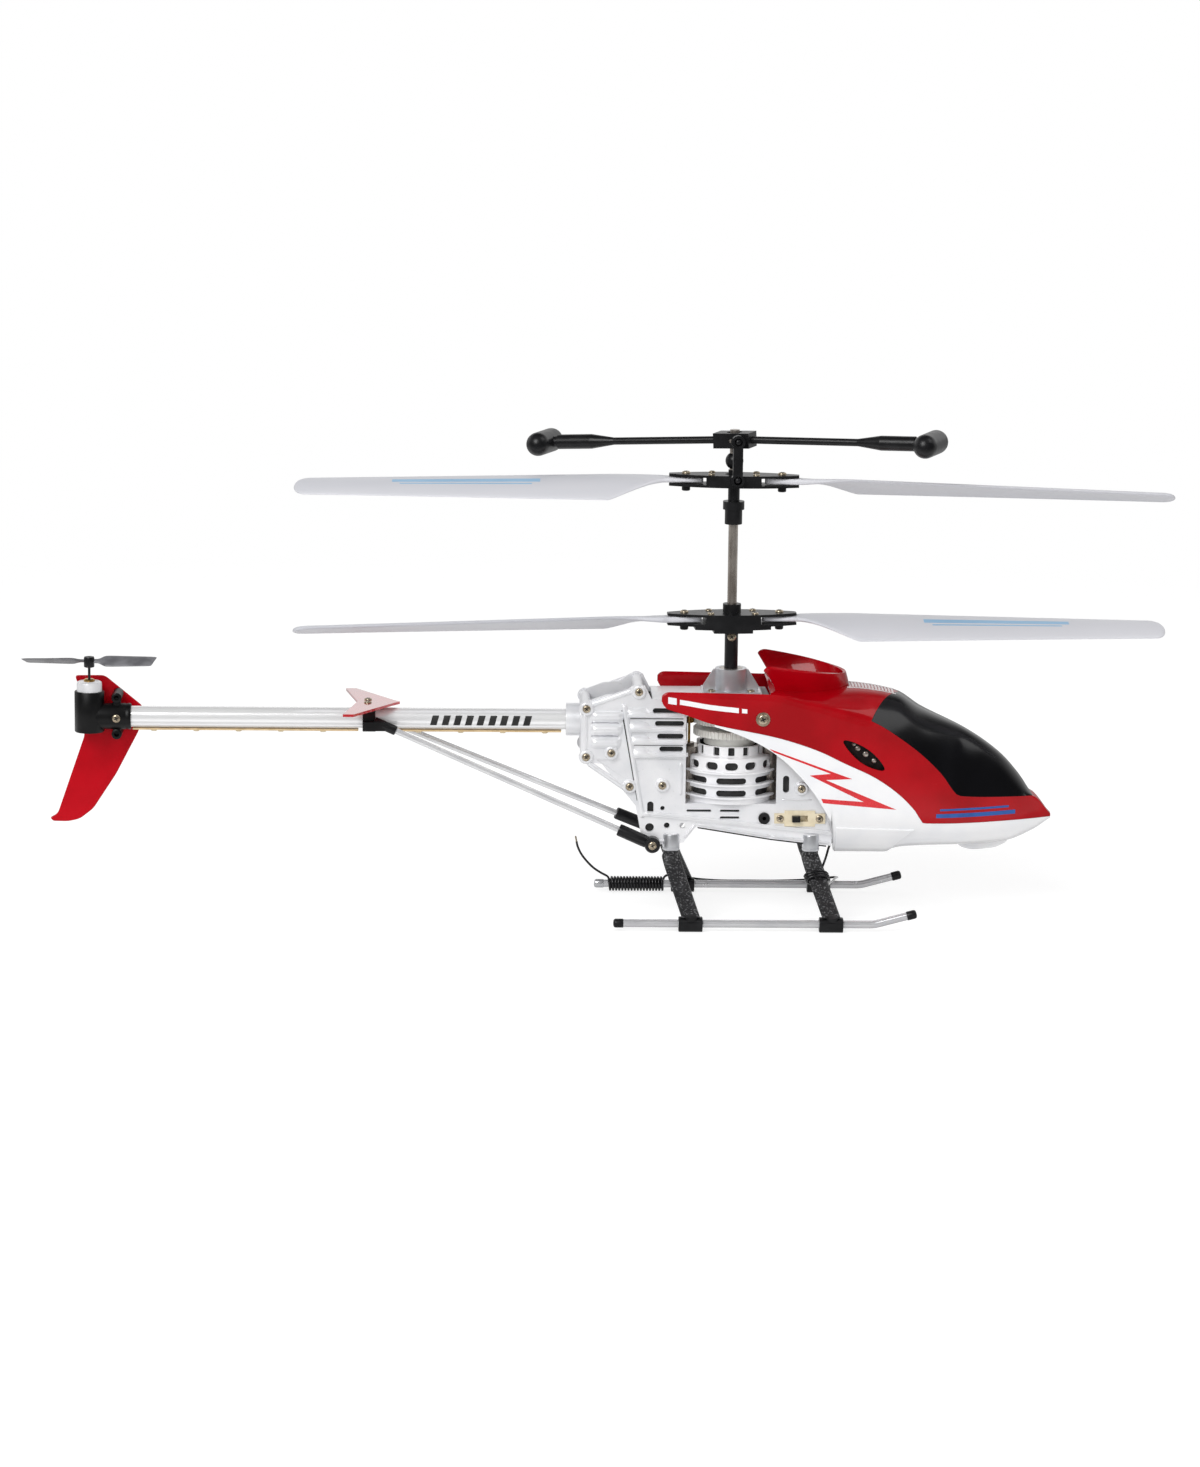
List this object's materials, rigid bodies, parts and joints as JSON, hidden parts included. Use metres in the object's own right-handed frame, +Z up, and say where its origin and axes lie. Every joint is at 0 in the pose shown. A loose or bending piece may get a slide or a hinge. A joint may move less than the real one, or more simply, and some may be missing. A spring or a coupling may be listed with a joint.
{
  "type": "remote control helicopter",
  "caption": "Toy helicopter with stacked contra-rotating rotors, a flybar, a slim tail boom with a small propeller, a red and white canopy and tube skids.",
  "frame": {"origin": "on the ground under the middle of the whole length and width", "axes": "+X to the nose, +Y to the left side, +Z up"},
  "size_m": [0.4347, 0.0794, 0.1892],
  "materials": {
    "frame_silver": "satin cast and painted silver",
    "polished_tube": "polished",
    "steel": "bright",
    "black_plastic": "satin",
    "leg_black": "grained",
    "canopy_red": "pearl gloss",
    "hull_white": "gloss",
    "window_dark": "smoked gloss",
    "blade_white": "satin",
    "gear_white": "moulded",
    "brass": "machined",
    "lamp_clear": "clear moulding",
    "strip_tan": "bare board",
    "switch_cream": "satin",
    "cell_foil": "foil pouch",
    "board_green": "coated board",
    "wire_black": "satin sleeve"
  },
  "bodies": {
    "airframe": {"frame_right": "frame_silver", "frame_left": "frame_silver", "frame_screws": "steel", "motor_shroud_right": "frame_silver", "motor_shroud_left": "frame_silver", "mast_housing": "frame_silver", "shaft_bearings": "steel", "front_motor": "steel", "rear_motor": "steel", "boom_collar": "frame_silver", "tail_boom": "polished_tube", "led_strip": "strip_tan", "boom_clamp": "black_plastic", "stabiliser": "canopy_red", "support_struts": "polished_tube", "strut_ends": "black_plastic", "tail_motor_holder": "black_plastic", "tail_motor": "steel", "tail_fin": "canopy_red", "fin_posts": "black_plastic", "canopy_shell": "canopy_red", "canopy_hull": "hull_white", "windscreen": "window_dark", "intake_scoop": "canopy_red", "trim_screws": "steel", "nose_light": "lamp_clear", "battery": "cell_foil", "circuit_board": "board_green", "switch_body": "switch_cream", "charge_jack": "black_plastic", "leg_front_right": "leg_black", "leg_rear_right": "leg_black", "leg_front_left": "leg_black", "leg_rear_left": "leg_black", "skid_right": "polished_tube", "skid_left": "polished_tube", "skid_clamps": "black_plastic", "skid_caps": "black_plastic", "antenna_lead": "wire_black", "antenna_winding": "wire_black", "antenna_tail": "wire_black"},
    "lower_rotor": {"outer_shaft": "black_plastic", "lower_rotor_gear": "gear_white", "lower_grip": "black_plastic", "lower_grip_bolts": "steel"},
    "lower_blade_a": {"lower_blade_a": "blade_white"},
    "lower_blade_b": {"lower_blade_b": "blade_white"},
    "inner_mast": {"inner_shaft": "steel", "upper_rotor_gear": "gear_white", "mast_sleeve": "black_plastic"},
    "upper_head": {"upper_grip": "black_plastic", "upper_grip_bolts": "steel"},
    "upper_blade_a": {"upper_blade_a": "blade_white"},
    "upper_blade_b": {"upper_blade_b": "blade_white"},
    "flybar": {"flybar": "black_plastic"},
    "pitch_link": {"pitch_link": "black_plastic"},
    "front_pinion": {"front_pinion": "brass"},
    "rear_pinion": {"rear_pinion": "brass"},
    "tail_rotor": {"tail_propeller": "black_plastic"},
    "switch_slider": {"switch_slider": "black_plastic"}
  },
  "joints": [
    {"name": "lower_rotor_spin", "type": "hinge", "parent": "airframe", "child": "lower_rotor", "pos_m": [0.051, 0, 0.1138], "axis": [0, 0, 1], "continuous": true},
    {"name": "upper_rotor_spin", "type": "hinge", "parent": "airframe", "child": "inner_mast", "pos_m": [0.051, 0, 0.1666], "axis": [0, 0, 1], "continuous": true},
    {"name": "lower_blade_a_fold", "type": "hinge", "parent": "lower_rotor", "child": "lower_blade_a", "pos_m": [0.06907, 0.00111, 0.1138], "axis": [0, 0, -1], "range_deg": [-5, 20]},
    {"name": "lower_blade_b_fold", "type": "hinge", "parent": "lower_rotor", "child": "lower_blade_b", "pos_m": [0.03293, -0.00111, 0.1138], "axis": [0, 0, -1], "range_deg": [-5, 20]},
    {"name": "flybar_tilt", "type": "hinge", "parent": "inner_mast", "child": "flybar", "pos_m": [0.051, 0, 0.182], "axis": [-0.3746, -0.9272, 0], "range_deg": [-15, 9]},
    {"name": "head_feather", "type": "hinge", "parent": "inner_mast", "child": "upper_head", "pos_m": [0.051, 0, 0.1666], "axis": [-0.998, 0.0628, 0], "range_deg": [-6.94, 4.18]},
    {"name": "pitch_link_swing", "type": "hinge", "parent": "flybar", "child": "pitch_link", "pos_m": [0.0518, -0.00916, 0.18222], "axis": [-0.3746, -0.9272, 0], "range_deg": [-9.05, 15.05]},
    {"name": "upper_blade_a_fold", "type": "hinge", "parent": "upper_head", "child": "upper_blade_a", "pos_m": [0.06906, -0.00114, 0.1666], "axis": [0.0015, 0.024, 0.9997], "range_deg": [-5, 20]},
    {"name": "upper_blade_b_fold", "type": "hinge", "parent": "upper_head", "child": "upper_blade_b", "pos_m": [0.03294, 0.00114, 0.1666], "axis": [0.0015, 0.024, 0.9997], "range_deg": [-5, 20]},
    {"name": "front_pinion_spin", "type": "hinge", "parent": "airframe", "child": "front_pinion", "pos_m": [0.0665, 0, 0.07], "axis": [0, 0, 1], "continuous": true},
    {"name": "rear_pinion_spin", "type": "hinge", "parent": "airframe", "child": "rear_pinion", "pos_m": [0.0355, 0, 0.075], "axis": [0, 0, 1], "continuous": true},
    {"name": "tail_rotor_spin", "type": "hinge", "parent": "airframe", "child": "tail_rotor", "pos_m": [-0.192, 0, 0.0964], "axis": [0, 0, 1], "continuous": true},
    {"name": "switch_slide", "type": "slide", "parent": "airframe", "child": "switch_slider", "axis": [1, 0, 0], "range_m": [0, 0.0028]}
  ],
  "couplings": [
    {"joint": "head_feather", "follows": "flybar_tilt", "ratio": 0.45915},
    {"joint": "pitch_link_swing", "follows": "flybar_tilt", "ratio": -1},
    {"joint": "front_pinion_spin", "follows": "upper_rotor_spin", "ratio": -6.75},
    {"joint": "rear_pinion_spin", "follows": "lower_rotor_spin", "ratio": -6.75}
  ]
}
